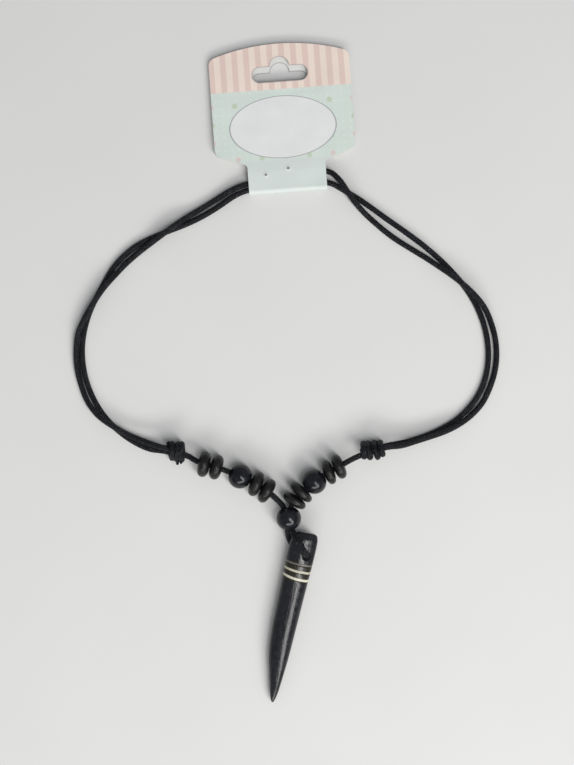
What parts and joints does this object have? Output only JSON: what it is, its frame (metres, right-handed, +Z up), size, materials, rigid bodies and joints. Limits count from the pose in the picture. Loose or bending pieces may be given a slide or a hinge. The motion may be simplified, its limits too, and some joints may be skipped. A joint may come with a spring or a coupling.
{
  "type": "fang necklace on a hang card",
  "caption": "Cord necklace with a long fang and dark beads, lying flat on the folded card it hangs from in a shop.",
  "frame": {"origin": "on the surface that the necklace lies on, under the middle of everything but the two bare neck cords", "axes": "+X across the card to the right, +Y from the fang's tip towards the card's top edge, +Z up from the surface"},
  "size_m": [0.1329, 0.2061, 0.0089],
  "materials": {
    "fang": "polished, mottled dark olive brown",
    "cord": "braided, black",
    "round_bead": "polished, black",
    "disc": "satin, dark brown to black",
    "card": "coated, pale mint and pink print",
    "staple": "drawn wire"
  },
  "bodies": {
    "root": {"fang": "fang", "bead_cord": "cord", "neck_cord_a": "cord", "neck_cord_b": "cord", "knot_left": "cord", "knot_right": "cord", "round_bead_left": "round_bead", "round_bead_centre": "round_bead", "round_bead_right": "round_bead", "disc_left_1": "disc", "disc_left_2": "disc", "disc_left_3": "disc", "disc_left_4": "disc", "disc_right_1": "disc", "disc_right_2": "disc", "disc_right_3": "disc", "disc_right_4": "disc", "hang_card": "card", "staple": "staple"}
  },
  "joints": []
}
